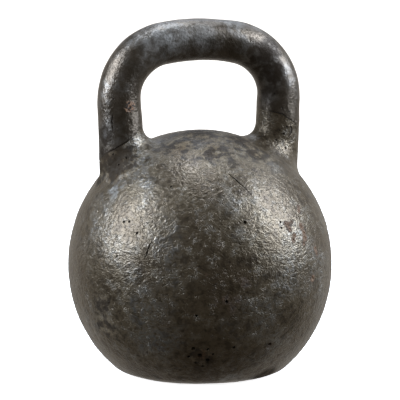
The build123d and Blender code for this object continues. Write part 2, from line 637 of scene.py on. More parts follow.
@dataclass(frozen=True)
class BallSpot:
    """A round mark on the ball: its direction from the ball's centre, and its radius in mm."""

    azimuth: float
    elevation: float
    radius: float

    def ray(self, build: Build) -> tuple[np.ndarray, np.ndarray]:
        """A start outside the ball and the way from there to its centre."""
        out = heading(self.azimuth, self.elevation)
        return np.array([0.0, 0.0, build.centre_z]) + 1.5 * build.ball_radius * out, -out


@dataclass(frozen=True)
class LegSpot:
    """A round mark on a leg: its height and radius in mm, and its direction from the leg's axis."""

    side: float
    height: float
    azimuth: float
    radius: float

    def ray(self, build: Build) -> tuple[np.ndarray, np.ndarray]:
        """A start outside the leg and the way from there to its axis."""
        out = heading(self.azimuth, 0.0)
        return build.on_leg(self.side, self.height * MM) + 2.5 * build.bar_radius * out, -out


@dataclass(frozen=True)
class Crack:
    """A thin open line along the given spots, whose radius is its half width there.

    Its depth is in metres.
    """

    spots: tuple[BallSpot | LegSpot, ...]
    depth: float


def seam_crack(build: Build, seam: Seam) -> Crack:
    """The stretch of a seam that has opened, as a crack.

    Args:
        build: The sizes that the ball and the handle share.
        seam: The seam.

    Returns:
        The crack, laid on the leg's surface.
    """
    turns = np.linspace(seam.open_from, seam.open_to, 9)
    half_width, depth = 0.22, 0.7 * MM
    spots = tuple(LegSpot(seam.side, seam.height_at(build, a) / MM, a, half_width) for a in turns)
    return Crack(spots, depth)


@dataclass
class Gouges:
    """Small closed tools, laid on a finished surface and cut out of it together.

    The blades of cracks stand clear of the surface by a little, so that they cut it cleanly.
    """

    build: Build
    target: bpy.types.Object
    clear: float = 0.4 * MM
    points: list = field(default_factory=list)
    faces: list = field(default_factory=list)
    centres: list = field(default_factory=list)
    outward: list = field(default_factory=list)
    radii: list = field(default_factory=list)

    def land(self, spot: BallSpot | LegSpot) -> tuple[np.ndarray, np.ndarray]:
        """Where a spot lies on the surface, and which way is out there.

        Args:
            spot: The mark.

        Returns:
            The place and the unit vector out of it.
        """
        start, way = spot.ray(self.build)
        _, place, _, _ = self.target.ray_cast(Vector(start), Vector(way))
        return np.array(place), -way

    def note(self, place: np.ndarray, out: np.ndarray, radius: float) -> None:
        """Keeps a mark's place and size for the finish.

        Args:
            place: The mark's middle.
            out: The way out of the surface there.
            radius: The mark's radius, in metres.
        """
        self.centres.append(place)
        self.outward.append(out)
        self.radii.append(radius)

    def pit(self, spot: BallSpot | LegSpot, deep: float = 0.75, noted: bool = True) -> None:
        """Adds a rounded, slightly lopsided pit, deep times its radius, noted as a dark mark or not.

        Args:
            spot: Where it lies and how wide it is.
            deep: Its depth, as a share of its radius.
            noted: Whether the finish shows it as a dark mark.
        """
        place, out = self.land(spot)
        ball = bmesh.new()
        bmesh.ops.create_icosphere(ball, subdivisions=2, radius=1.0)
        start, radius = len(self.points), spot.radius * MM
        centre = place + out * radius * (1 - deep)
        for vertex in ball.verts:
            co = np.array(vertex.co)
            lop = 1 + 0.16 * math.sin(2.3 * co[0] + 7 * spot.azimuth) * math.cos(2.9 * co[2] + spot.azimuth)
            self.points.append(centre + co * radius * lop)
        self.faces += [[start + v.index for v in f.verts] for f in ball.faces]
        ball.free()
        if noted:
            self.note(place, out, radius)

    def crack(self, crack: Crack) -> None:
        """Adds a V-shaped blade along a crack, thin at both ends.

        Args:
            crack: Its course, width and depth.
        """
        stations, steps = [], 12
        for first, last in zip(crack.spots, crack.spots[1:]):
            for i in range(steps):
                share = i / steps
                between = {
                    key: value + (getattr(last, key) - value) * share for key, value in vars(first).items()
                }
                stations.append(type(first)(**between))
        stations.append(crack.spots[-1])
        landed = [self.land(spot) for spot in stations]
        places = np.array([place for place, _ in landed])
        tangents = np.gradient(places, axis=0)
        start = len(self.points)
        for i, ((place, out), tangent) in enumerate(zip(landed, tangents)):
            taper = max(0.12, math.sin(math.pi * i / (len(landed) - 1)) ** 0.5)
            wobble = 1 + 0.3 * math.sin(2.1 * i) * math.sin(0.7 * i + 1)
            half, depth = stations[i].radius * MM * taper * wobble, crack.depth * taper
            side = np.cross(tangent, out)
            side *= half * (1 + self.clear / depth) / np.linalg.norm(side)
            lift = out * self.clear
            self.points += [place + lift + side, place + lift - side, place - out * depth]
            self.note(place, out, 1.3 * half)
        last = start + 3 * (len(landed) - 1)
        for low in range(start, last, 3):
            for k in range(3):
                nxt = (k + 1) % 3
                self.faces.append([low + k, low + nxt, low + 3 + nxt, low + 3 + k])
        self.faces += [[start, start + 2, start + 1], [last, last + 1, last + 2]]

    def tool(self) -> bpy.types.Object:
        """All the tools as one object, faces outward.

        Returns:
            The closed tools, to be cut away.
        """
        obj = mesh_object("gouges", self.points, self.faces)
        work = bmesh.new()
        work.from_mesh(obj.data)
        bmesh.ops.triangulate(work, faces=work.faces[:])
        bmesh.ops.recalc_face_normals(work, faces=work.faces[:])
        work.to_mesh(obj.data)
        work.free()
        return obj

    def depth_at(self, points: Points) -> np.ndarray:
        """How far inside a mark each point lies, from 0 at its rim to 1 at its middle.

        Args:
            points: Places, in metres.

        Returns:
            One number for each place.
        """
        inside = np.zeros(len(points))
        for centre, out, radius in zip(self.centres, self.outward, self.radii):
            offset = points - centre
            near = np.abs(offset).max(axis=1) < 3 * radius + 1 * MM
            close = offset[near]
            lateral = np.linalg.norm(close - (close @ out)[:, None] * out, axis=1)
            inside[near] = np.maximum(inside[near], 1 - smoothstep(0.45, 1.05, lateral / radius))
        return inside


def seam_gouges(build: Build, seams: tuple[Seam, Seam], bar: bpy.types.Object) -> Gouges:
    """The tool that opens the seams, laid on the bar's surface.

    Args:
        build: The sizes that the ball and the handle share.
        seams: Both seams.
        bar: The handle, uncut.

    Returns:
        The gouges, whose tool cuts the casting.
    """
    bpy.context.view_layer.update()
    gouges = Gouges(build, bar)
    for seam in seams:
        gouges.crack(seam_crack(build, seam))
    return gouges


def blots(
    build: Build, points: Points, spots: tuple[BallSpot, ...], core: float = 0.0, reach: float = 2.0
) -> np.ndarray:
    """Soft round patches on the ball: 1 within core times a spot's radius and 0 beyond reach times.

    Args:
        build: The sizes that the ball and the handle share.
        points: Places, in metres.
        spots: Where the patches lie and how wide they are.
        core: Share of a spot's radius that is full.
        reach: Share of a spot's radius at which it ends.

    Returns:
        One number for each place.
    """
    centre = np.array([0.0, 0.0, build.centre_z])
    out = (points - centre) / np.linalg.norm(points - centre, axis=1)[:, None]
    share = np.zeros(len(points))
    for spot in spots:
        far = np.arccos(np.clip(out @ heading(spot.azimuth, spot.elevation), -1, 1)) * build.ball_radius
        share = np.maximum(share, 1 - smoothstep(core, reach, far / (spot.radius * MM)))
    return share


@dataclass(frozen=True)
class BarPatch:
    """A soft patch on the bar round a place near its surface, all in mm."""

    x: float
    y: float
    z: float
    radius: float

    def share(self, points: Points) -> np.ndarray:
        """1 at the middle of the patch, falling to 0 at its radius."""
        far = np.linalg.norm(points - np.array([self.x, self.y, self.z]) * MM, axis=1)
        return 1 - smoothstep(0.2, 1.0, far / (self.radius * MM))


def seam_line(build: Build, seams: tuple[Seam, Seam], points: Points) -> np.ndarray:
    """Distance from the seams, made longer where they have not opened, so that they vanish there.

    Args:
        build: The sizes that the ball and the handle share.
        seams: Both seams.
        points: Places, in metres.

    Returns:
        Metres from the nearer seam's line.
    """
    lines = []
    for seam in seams:
        offset = points - build.on_leg(seam.side, seam.height)
        azimuth = np.degrees(np.arctan2(offset[:, 0], -offset[:, 1]))
        closed = np.maximum(seam.open_from - azimuth, azimuth - seam.open_to)
        lines.append(np.abs(seam.nearest(build, points)) + 3 * MM * smoothstep(-5.0, 12.0, closed))
    return np.minimum(*lines)


def cut(obj: bpy.types.Object, tool: bpy.types.Object) -> None:
    """Cuts one closed solid out of another, and stops the script if nothing was cut.

    Args:
        obj: The solid that is cut.
        tool: The closed solid that is taken away, and left in the scene.
    """
    before = len(obj.data.vertices)
    modifier = obj.modifiers.new("cut", "BOOLEAN")
    modifier.operation = "DIFFERENCE"
    modifier.solver = "MANIFOLD"
    modifier.object = tool
    apply_modifiers(obj)
    if len(obj.data.vertices) == before:
        raise RuntimeError(f"{tool.name} cut nothing out of {obj.name}")


def calm_at_seams(build: Build, seams: tuple[Seam, Seam], points: Points) -> np.ndarray:
    """0 on and above a seam's line, rising to 1 well away from it."""
    calm = [smoothstep(1 * MM, 9 * MM, np.abs(seam.nearest(build, points))) for seam in seams]
    return np.minimum(*calm)


# ---- the ball --------------------------------------------------------------------------


@dataclass
class BallCasting:
    """The cast ball with its flat base, its two horns and the bores for bar and plug."""

    build: Build
    seams: tuple[Seam, Seam]
    horn_skin: float = 0.55 * MM
    horn_fillet: float = 15.0 * MM
    outer_fillet: float = 5.0 * MM
    horn_rim: float = 1.0 * MM
    horn_run: float = 6.0 * MM
    horn_run_untrimmed: float = 40.0 * MM
    horn_shrink: float = 4.0 * MM
    lip_low: float = -0.3 * MM
    lip_high: float = 1.2 * MM
    skin_size: float = 1.7 * MM
    holes: tuple[BallSpot, ...] = (
        BallSpot(0.9, 25.1, 1.6), BallSpot(-56.2, 24.4, 1.15), BallSpot(-53.3, 24.6, 1.1),
        BallSpot(-48.1, 20.2, 1.2), BallSpot(-35.5, 41.4, 1.1), BallSpot(-56.7, 10.0, 1.0),
        BallSpot(-92.0, -15.0, 1.1), BallSpot(-8.7, -7.2, 1.4), BallSpot(-21.0, -13.0, 1.2),
        BallSpot(-3.7, -28.4, 1.4), BallSpot(15.0, -28.4, 1.7), BallSpot(19.4, 24.1, 0.9),
        BallSpot(19.2, 21.6, 0.9),
    )
    cluster: tuple[BallSpot, ...] = (
        BallSpot(-22.8, -28.5, 1.7), BallSpot(-19.7, -32.3, 2.1), BallSpot(-16.0, -29.0, 1.3),
        BallSpot(-21.8, -36.4, 1.5), BallSpot(-15.9, -34.9, 1.8), BallSpot(-13.4, -31.6, 1.1),
        BallSpot(-25.2, -33.0, 1.2), BallSpot(-18.4, -38.6, 1.1),
    )
    scabs: tuple[BallSpot, ...] = (
        BallSpot(35.3, 29.3, 1.5), BallSpot(34.2, 27.5, 1.5), BallSpot(23.5, 22.4, 2.2),
        BallSpot(23.8, 20.5, 1.5), BallSpot(21.9, 23.2, 1.2), BallSpot(26.3, 23.5, 1.2),
        BallSpot(31.9, 21.0, 2.3), BallSpot(32.6, 18.4, 1.8), BallSpot(32.3, 16.0, 2.2),
        BallSpot(30.9, 13.9, 1.5), BallSpot(25.7, 17.7, 1.6), BallSpot(24.6, 16.0, 1.6),
        BallSpot(39.2, 10.6, 1.9), BallSpot(39.9, 8.6, 1.7), BallSpot(35.5, -1.4, 2.4),
    )
    leg_holes: tuple[LegSpot, ...] = (
        LegSpot(Side.RIGHT, 188.5, 3.0, 1.0), LegSpot(Side.RIGHT, 183.0, -4.0, 1.2),
        LegSpot(Side.RIGHT, 172.5, 0.0, 1.2), LegSpot(Side.RIGHT, 178.5, -24.0, 0.8),
        LegSpot(Side.RIGHT, 186.0, -16.0, 0.7), LegSpot(Side.RIGHT, 176.0, 12.0, 0.8),
        LegSpot(Side.LEFT, 169.0, -6.0, 0.9), LegSpot(Side.LEFT, 164.0, -24.0, 0.8),
        LegSpot(Side.LEFT, 171.5, -38.0, 0.7),
    )
    cracks: tuple[Crack, ...] = (
        Crack(
            (
                BallSpot(-2.4, 48.2, 0.4), BallSpot(1.0, 45.0, 0.6),
                BallSpot(4.1, 41.4, 0.4), BallSpot(8.2, 35.8, 0.25),
            ), 0.9 * MM,
        ),
        Crack(
            (BallSpot(-40.4, 17.7, 0.3), BallSpot(-42.1, 13.4, 0.5), BallSpot(-43.2, 9.7, 0.3)), 0.8 * MM
        ),
        Crack(
            (
                LegSpot(Side.RIGHT, 190.5, 14.0, 0.4), LegSpot(Side.RIGHT, 187.0, 18.0, 0.6),
                LegSpot(Side.RIGHT, 183.5, 16.0, 0.6), LegSpot(Side.RIGHT, 180.5, 9.0, 0.4),
            ), 1.0 * MM,
        ),
    )

    def distance(self, points: Points, trimmed: bool = True) -> np.ndarray:
        """Signed distance to the bare casting, without relief.

        Args:
            points: Places to measure at.
            trimmed: Whether the horns end at the seams, or run on up the legs.

        Returns:
            Metres outside the surface, negative inside.
        """
        build = self.build
        out = np.hypot(points[:, 0], points[:, 1]) / build.ball_radius
        up = np.abs(points[:, 2] - build.centre_z) / build.half_height
        k = build.squareness
        reach = np.maximum((out ** k + up ** k) ** (1 / k), 1e-6)
        slope = np.hypot(
            (out / reach) ** (k - 1) / build.ball_radius, (up / reach) ** (k - 1) / build.half_height
        )
        body = (reach - 1) / slope
        for seam in self.seams:
            gap = seam.gap(build, points)
            # Above the seam the horn shrinks to inside the bar, where the bore removes it.
            fade = smoothstep(self.lip_low, self.lip_high, gap) if trimmed else 0.0
            foot = build.on_leg(seam.side, build.centre_z)
            offset = points - foot
            along = offset @ build.leg_up(seam.side)
            across = np.linalg.norm(offset - along[:, None] * build.leg_up(seam.side), axis=1)
            radius = build.leg_radius + self.horn_skin - self.horn_shrink * fade
            horn = np.maximum(across - radius, -along)
            run = self.horn_run if trimmed else self.horn_run_untrimmed
            horn = round_cut(horn, gap - run, self.horn_rim)
            # On a leg's outer side the horn meets the ball in a tighter hollow.
            outer = smoothstep(0.0, 0.9, offset @ build.leg_out(seam.side) / np.maximum(across, 1 * MM))
            body = round_union(body, horn, self.horn_fillet + (self.outer_fillet - self.horn_fillet) * outer)
        return round_cut(body, -points[:, 2], build.base_edge)

    def shells(self) -> tuple[Points, list]:
        """Closed rough shells of the ball and both horns, which overlap.

        Returns:
            Points and faces of all the shells.
        """
        build = self.build
        arc = np.linspace(-math.pi / 2, math.pi / 2, 60)
        profile = [
            (build.ball_radius * math.cos(a), max(0.0, build.centre_z + build.half_height * math.sin(a)))
            for a in arc
        ]
        points, faces = lathe(profile, 96)
        parts = [points]
        for seam in self.seams:
            foot = build.on_leg(seam.side, build.centre_z)
            high = (seam.height - foot[2]) + self.horn_run + build.bar_radius * seam.rise_in
            radius = build.leg_radius + self.horn_skin
            rod, rod_faces = lathe([(0, 0), (radius, 0), (radius, high), (0, high)], 48)
            up, out = build.leg_up(seam.side), build.leg_out(1.0) * np.array([1.0, 1.0, seam.side])
            turned = rod[:, :1] * out + rod[:, 1:2] * np.array([0.0, 1.0, 0.0]) + rod[:, 2:] * up + foot
            start = sum(len(p) for p in parts)
            faces += [tuple(start + i for i in f) for f in rod_faces]
            parts.append(turned)
        return np.vstack(parts), faces

    def skin(self) -> bpy.types.Object:
        """The casting's bare surface as an even mesh that lies on the implicit shape.

        Returns:
            The bare casting, uncut.
        """
        points, faces = self.shells()
        obj = mesh_object("ball_casting_skin", points, faces)
        remesh = obj.modifiers.new("even", "REMESH")
        remesh.mode = "VOXEL"
        remesh.voxel_size = self.skin_size
        apply_modifiers(obj)
        self.settle(obj)
        return obj

    def settle(self, obj: bpy.types.Object, rounds: int = 6) -> None:
        """Moves the vertices along the gradient onto the implicit shape.

        Args:
            obj: The mesh object, near the shape already.
            rounds: How many times it is moved.
        """
        points = coordinates(obj)
        step = 0.05 * MM
        for _ in range(rounds):
            here = self.distance(points)
            slope = np.stack(
                [self.distance(points + step * axis) - here for axis in np.eye(3)], axis=1
            ) / step
            size = np.maximum((slope ** 2).sum(axis=1), 0.25)
            move = -(here / size)[:, None] * slope
            points += np.clip(move, -1 * MM, 1 * MM)
        set_coordinates(obj, points)

    def cast_relief(self, obj: bpy.types.Object, material: bpy.types.Material) -> None:
        """Works the sand-cast surface into the mesh: swells, dents, orange peel and pits.

        Args:
            obj: The bare casting.
            material: The casting's finish.
        """
        points = coordinates(obj)
        set_attribute(obj, "uneven", calm_at_seams(self.build, self.seams, points))
        relief = Relief("Cast skin")
        relief.swell("Swell", 42 * MM, 0.45 * MM, detail=1.0, faded=False)
        relief.swell("Dent", 15 * MM, 0.22 * MM, detail=1.0)
        relief.swell("Peel", 5.0 * MM, 0.16 * MM, detail=1.0)
        relief.pits("Pit", 3200.0, 1.7 * MM, 0.4 * MM, seed=11)
        relief.run(obj, material)
        points = coordinates(obj)
        points[:, 2] = np.maximum(points[:, 2], 0.0)
        set_coordinates(obj, points)

    def mark(self, obj: bpy.types.Object) -> Gouges:
        """Cuts the blow holes, rust scabs and cracks, and returns the tools' places.

        Args:
            obj: The bored casting.

        Returns:
            The gouges, for the finish.
        """
        bpy.context.view_layer.update()
        gouges = Gouges(self.build, obj)
        for spot in self.holes + self.cluster:
            gouges.pit(spot)
        for spot in self.scabs:
            gouges.pit(spot, deep=0.35, noted=False)
        for spot in self.leg_holes:
            gouges.pit(spot, deep=0.5)
        for crack in self.cracks:
            gouges.crack(crack)
        tool = gouges.tool()
        cut(obj, tool)
        bpy.data.objects.remove(tool)
        return gouges

    def make(
        self, bar: bpy.types.Object, pocket: bpy.types.Object, material: bpy.types.Material
    ) -> bpy.types.Object:
        """Builds the finished casting.

        Args:
            bar: The handle, which the ball was poured round.
            pocket: The closed shape of the trimming pocket.
            material: The casting's finish.

        Returns:
            The object, with its attributes for the finish.
        """
        obj = self.skin()
        self.cast_relief(obj, material)
        cut(obj, bar)
        cut(obj, pocket)
        gouges = self.mark(obj)
        opened = seam_gouges(self.build, self.seams, bar)
        tool = opened.tool()
        cut(obj, tool)
        bpy.data.objects.remove(tool)
        points = coordinates(obj)
        set_attribute(obj, "seam", seam_line(self.build, self.seams, points))
        set_attribute(obj, "mark", np.maximum(gouges.depth_at(points), opened.depth_at(points)))
        set_attribute(obj, "rust", self.rust(points))
        set_attribute(obj, "shade", self.shade(points))
        obj.name = obj.data.name = "ball_iron"
        return obj

    def rust(self, points: Points) -> np.ndarray:
        """Where red rust sits: in the scabs and in a few stains.

        Args:
            points: Places, in metres.

        Returns:
            From 0, clean, to 1, a scab.
        """
        stains = (
            BallSpot(-17.0, 4.0, 2.6), BallSpot(-10.1, -6.2, 3.2), BallSpot(-2.0, 0.2, 3.0),
            BallSpot(-79.8, 0.9, 2.0), BallSpot(15.0, -28.4, 3.0),
        )
        faint = (
            BallSpot(0.3, 0.9, 9.0), BallSpot(-56.5, 27.9, 3.6), BallSpot(-19.0, -32.0, 8.0),
            BallSpot(-8.0, -8.0, 12.0),
        )
        scabs = blots(self.build, points, self.scabs, core=1.0, reach=2.0)
        strong = np.maximum(scabs, 0.75 * blots(self.build, points, stains))
        return np.maximum(strong, 0.55 * blots(self.build, points, faint))

    def shade(self, points: Points) -> np.ndarray:
        """Paler and darker patches of the skin, from 1 down to -1: stains and smudges, with a painted
        highlight and painted shade among them.

        Args:
            points: Places, in metres.

        Returns:
            One number for each place.
        """
        # The first is a pale stain near the base; the second, on the ball's upper left, is a painted
        # highlight.
        pale = (BallSpot(-1.1, -48.3, 9.0), BallSpot(-70.0, 38.0, 6.0))
        # Painted shade over brown mottling on the ball's top; the last two are dark smudges low on the left.
        dusky_and_shaded = (
            BallSpot(-40.0, 66.0, 15.0), BallSpot(-8.0, 62.0, 14.0), BallSpot(30.0, 58.0, 13.0),
            BallSpot(-20.0, 80.0, 22.0), BallSpot(40.0, 72.0, 14.0),
            BallSpot(-65.6, -11.5, 7.0), BallSpot(-66.5, -21.0, 9.0),
        )
        # Dark stains round the group of pits and at the base; the rest are painted shade at the foot of the
        # left leg.
        dark_and_shaded = (
            BallSpot(-19.5, -32.5, 6.0), BallSpot(26.8, -50.4, 10.0),
            BallSpot(-100.0, 46.5, 10.0), BallSpot(-74.0, 49.5, 9.0),
            BallSpot(-88.0, 47.5, 10.0), BallSpot(-96.0, 54.0, 11.0), BallSpot(-93.0, 42.5, 8.0),
            BallSpot(-78.0, 44.5, 7.0),
        )
        fair, dull = (blots(self.build, points, spots) for spots in (pale, dusky_and_shaded))
        return fair - np.maximum(blots(self.build, points, dark_and_shaded, core=0.6, reach=1.6), 0.85 * dull)


# ---- the handle ------------------------------------------------------------------------


@dataclass
class ForgedHandle:
    """The forged round bar, bent to a handle, with its anchors inside the ball."""

    build: Build
    seams: tuple[Seam, Seam]
    tang_top: float = 159.8 * MM
    tang_length: float = 52.0 * MM
    tang_radius: float = 13.0 * MM
    head_radius: float = 19.0 * MM
    head_height: float = 14.0 * MM
    head_chamfer: float = 3.0 * MM
    taper_start: float = 50.0 * MM
    taper_end: float = 75.0 * MM
    flush: float = 0.06 * MM
    most_swell: float = 3.0 * MM
    step: float = 0.85 * MM
    # Paler patches along the grip: hand wear, and a painted highlight along its top edge.
    rubbed_and_highlit: tuple[BarPatch, ...] = (
        BarPatch(-42.0, -14.0, 254.0, 22.0), BarPatch(-24.0, -16.0, 256.0, 22.0),
        BarPatch(-4.0, -16.0, 258.0, 20.0), BarPatch(24.0, -2.0, 272.0, 20.0),
        BarPatch(50.0, 0.0, 266.0, 18.0),
    )
    # Painted shade: darker patches inside the right corner and on the left leg about its seam.
    painted_shade: tuple[BarPatch, ...] = (
        BarPatch(48.0, -14.0, 245.0, 20.0), BarPatch(54.0, -14.0, 230.0, 17.0),
        BarPatch(53.0, -10.0, 216.0, 14.0),
        BarPatch(-78.0, -6.0, 186.0, 15.0), BarPatch(-76.0, 0.0, 172.0, 16.0),
    )
    chipped: BarPatch = BarPatch(-61.0, -16.0, 207.0, 6.5)
    chips: tuple[LegSpot, ...] = (
        LegSpot(Side.LEFT, 207.0, 12.0, 1.8), LegSpot(Side.LEFT, 204.3, 9.0, 1.5),
        LegSpot(Side.LEFT, 209.5, 10.0, 1.3), LegSpot(Side.LEFT, 206.0, 18.0, 1.2),
    )
    nicks: tuple[LegSpot, ...] = (
        LegSpot(Side.LEFT, 213.0, -30.0, 0.7), LegSpot(Side.RIGHT, 203.0, -12.0, 0.8),
        LegSpot(Side.RIGHT, 200.5, 8.0, 0.7), LegSpot(Side.RIGHT, 214.0, -34.0, 0.7),
    )
    groove: Crack = Crack(
        (
            LegSpot(Side.LEFT, 202.0, -35.0, 0.35), LegSpot(Side.LEFT, 196.0, -38.0, 0.5),
            LegSpot(Side.LEFT, 189.0, -37.0, 0.3),
        ), 0.5 * MM,
    )

    def radius(self, z: np.ndarray) -> np.ndarray:
        """The bar's radius at heights z of a leg: full, drawn down, then the upset head.

        Args:
            z: Heights, in metres.

        Returns:
            Radii, in metres.
        """
        foot = self.tang_top - self.tang_length
        leg, top = self.build.leg_radius, self.tang_top
        levels = [foot + self.head_height, top, top + self.taper_start, top + self.taper_end]
        drawn = np.interp(z, levels, [self.tang_radius, leg, leg, self.build.bar_radius])
        from_middle = np.abs(z - foot - self.head_height / 2)
        head = self.head_radius - self.head_chamfer * smoothstep(5 * MM, self.head_height / 2, from_middle)
        return np.where(z < foot + self.head_height, head, drawn)

    def path(self) -> bpy.types.Object:
        """The centreline as a wire with the bar's radius on every point.

        Returns:
            The wire, as a mesh object with edges only.
        """
        points = self.build.centreline(self.tang_top - self.tang_length, self.step)
        mesh = bpy.data.meshes.new("handle_line")
        mesh.from_pydata([tuple(p) for p in points], [(i, i + 1) for i in range(len(points) - 1)], [])
        obj = bpy.data.objects.new("handle_line", mesh)
        bpy.context.scene.collection.objects.link(obj)
        set_attribute(obj, "bar_radius", self.radius(points[:, 2]))
        return obj

    def sweep(self, material: bpy.types.Material) -> bpy.types.Object:
        """Sweeps the round section along the centreline, closed at both ends.

        Args:
            material: The bar's finish.

        Returns:
            The bar, as a closed mesh object.
        """
        obj = self.path()
        tree, inlet = open_tree("Bar sweep")
        sides = tree.interface.new_socket("Sides", in_out="INPUT", socket_type="NodeSocketInt")
        sides.default_value = round(2 * math.pi * self.build.bar_radius / self.step)
        line = add(tree, "GeometryNodeMeshToCurve", mesh=inlet.outputs["Geometry"])
        thick = add(tree, NAMED, NUMBER, name="bar_radius")
        sized = add(tree, "GeometryNodeSetCurveRadius", curve=line, radius=thick)
        ring = add(tree, "GeometryNodeCurvePrimitiveCircle", resolution=inlet.outputs["Sides"], radius=1.0)
        swept = add(tree, "GeometryNodeCurveToMesh", curve=sized, profile_curve=ring, fill_caps=True)
        if "Scale" in swept.inputs:
            # Newer versions of this node scale the section by this input, not by the curve's own radius.
            feed(tree, swept.inputs["Scale"], add(tree, "GeometryNodeInputRadius"))
        run_tree(tree, swept, obj, material)
        return obj

    def forge_relief(self, obj: bpy.types.Object, material: bpy.types.Material) -> None:
        """Works the forged surface into the mesh: hammer flats, scale and pits.

        Args:
            obj: The smooth bar.
            material: The bar's finish.
        """
        set_attribute(obj, "uneven", calm_at_seams(self.build, self.seams, coordinates(obj)))
        relief = Relief("Forged skin")
        relief.swell("Swell", 42 * MM, 0.45 * MM, detail=1.0, faded=False)
        relief.facets("Blow", 17 * MM, 0.5 * MM)
        relief.swell("Scale", 5.0 * MM, 0.08 * MM, detail=1.0)
        relief.pits("Pit", 1500.0, 1.3 * MM, 0.3 * MM, seed=23)
        relief.run(obj, material)

    def meet(self, obj: bpy.types.Object, casting: BallCasting) -> None:
        """Swells the bar just above each seam until it is flush with the casting.

        Args:
            obj: The smooth bar.
            casting: The ball, whose horns it is flush with.
        """
        points = coordinates(obj)
        for seam in self.seams:
            gap = seam.nearest(self.build, points)
            # The swelling starts below the line, hidden in the bore, and runs out well above it.
            share = smoothstep(-1.4 * MM, -0.4 * MM, gap) * (1 - smoothstep(1 * MM, 16 * MM, gap))
            proud = np.clip(self.flush - casting.distance(points, trimmed=False), 0, self.most_swell)
            out = points - self.build.on_leg(seam.side, 0.0)
            out[:, 0] -= seam.side * points[:, 2] * math.tan(self.build.leg_lean)
            out[:, 2] = 0.0
            out /= np.maximum(np.linalg.norm(out, axis=1), 1 * MM)[:, None]
            points += out * (proud * share)[:, None]
        set_coordinates(obj, points)

    def make(self, material: bpy.types.Material, casting: BallCasting) -> bpy.types.Object:
        """Builds the finished bar, with its attributes for the finish.

        Args:
            material: The bar's finish.
            casting: The ball, whose horns the bar is flush with.

        Returns:
            The object, still uncut, as the tool that bores the casting.
        """
        obj = self.sweep(material)
        self.meet(obj, casting)
        self.forge_relief(obj, material)
        obj.name = obj.data.name = "handle_forging"
        return obj

    def mark(self, obj: bpy.types.Object) -> None:
        """Cuts the nicks and the groove into the bar and notes them for the finish.

        Args:
            obj: The bar, after the casting has been bored with it.
        """
        bpy.context.view_layer.update()
        gouges = Gouges(self.build, obj)
        for spot in self.chips:
            gouges.pit(spot, deep=0.35, noted=False)
        for spot in self.nicks:
            gouges.pit(spot, deep=0.5)
        gouges.crack(self.groove)
        for seam in self.seams:
            gouges.crack(seam_crack(self.build, seam))
        tool = gouges.tool()
        cut(obj, tool)
        bpy.data.objects.remove(tool)
        points = coordinates(obj)
        set_attribute(obj, "seam", seam_line(self.build, self.seams, points))
        set_attribute(obj, "mark", gouges.depth_at(points))
        # Pale patches, hand wear and a painted highlight, less the painted shade patches.
        pale, shaded_dark = (
            np.max([patch.share(points) for patch in patches], axis=0)
            for patches in (self.rubbed_and_highlit, self.painted_shade)
        )
        set_attribute(obj, "shade", pale - shaded_dark)
        set_attribute(obj, "rust", self.chipped.share(points))


# ---- the base ----------------------------------------------------------------------------


